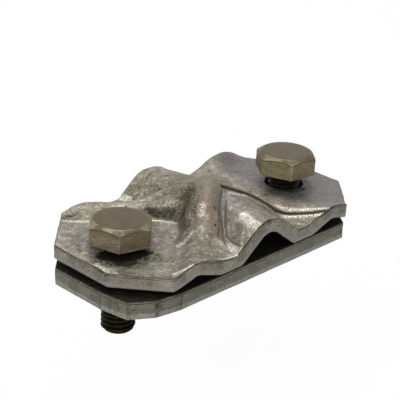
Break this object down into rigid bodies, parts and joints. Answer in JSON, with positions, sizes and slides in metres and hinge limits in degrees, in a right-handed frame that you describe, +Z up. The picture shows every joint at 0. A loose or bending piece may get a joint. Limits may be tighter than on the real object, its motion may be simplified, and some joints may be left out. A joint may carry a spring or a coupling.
{
  "type": "flat-to-round connector",
  "caption": "Bolted earthing clamp: flat base plate and pressed cover with a cross channel, joining flat strip to round conductor.",
  "frame": {"origin": "midway between the two bolts on the base plate's top face, on which the strip or round conductor is clamped", "axes": "+X along the row of bolts, +Y across the plates along the round-conductor channel, +Z up towards the bolt heads"},
  "size_m": [0.1017, 0.05, 0.0373],
  "materials": {
    "zinc_base": "hot-dip galvanised, dull",
    "zinc_cover": "hot-dip galvanised, mottled",
    "bolt_left": "satin, brownish grey",
    "bolt_right": "satin, brownish grey"
  },
  "bodies": {
    "base": {"base_plate": "zinc_base"},
    "cover": {"cover_plate": "zinc_cover"},
    "bolt_left": {"left_bolt": "bolt_left"},
    "bolt_right": {"right_bolt": "bolt_right"}
  },
  "joints": [
    {"name": "cover_lift", "type": "slide", "parent": "base", "child": "cover", "axis": [0, 0, 1], "range_m": [0, 0.00105]},
    {"name": "left_bolt_turn", "type": "hinge", "parent": "base", "child": "bolt_left", "pos_m": [-0.035, 0, 0], "axis": [0, 0, 1], "range_deg": [-264, 5160]},
    {"name": "right_bolt_turn", "type": "hinge", "parent": "base", "child": "bolt_right", "pos_m": [0.035, 0, 0], "axis": [0, 0, 1], "range_deg": [-936, 4488]}
  ]
}
